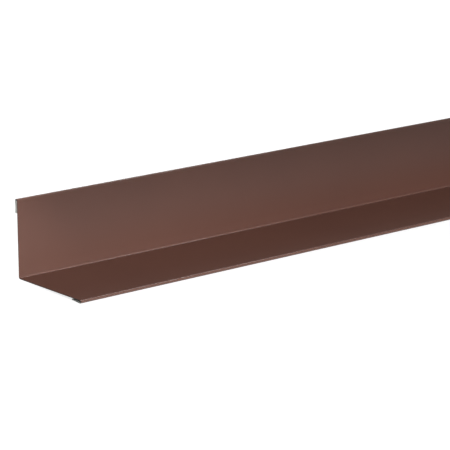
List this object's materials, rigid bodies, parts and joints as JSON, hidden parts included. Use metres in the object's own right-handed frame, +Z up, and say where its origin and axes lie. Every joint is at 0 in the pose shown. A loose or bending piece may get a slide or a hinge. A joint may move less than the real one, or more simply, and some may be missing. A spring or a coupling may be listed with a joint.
{
  "type": "inside corner trim",
  "caption": "Long L-shaped trim folded from brown coated sheet steel, hemmed along both free edges, that covers the inside corner where wall cladding meets a wall or floor.",
  "frame": {"origin": "on the floor that the trim lies on, under the middle of its bounding box", "axes": "+X along the trim, +Z up with the trim lying on its base leg, +Y from the base leg's hem towards the wall leg, which stands at the back"},
  "size_m": [2, 0.0734, 0.0549],
  "materials": {
    "coated_steel": "satin"
  },
  "bodies": {
    "root": {"corner_trim": "coated_steel"}
  },
  "joints": []
}
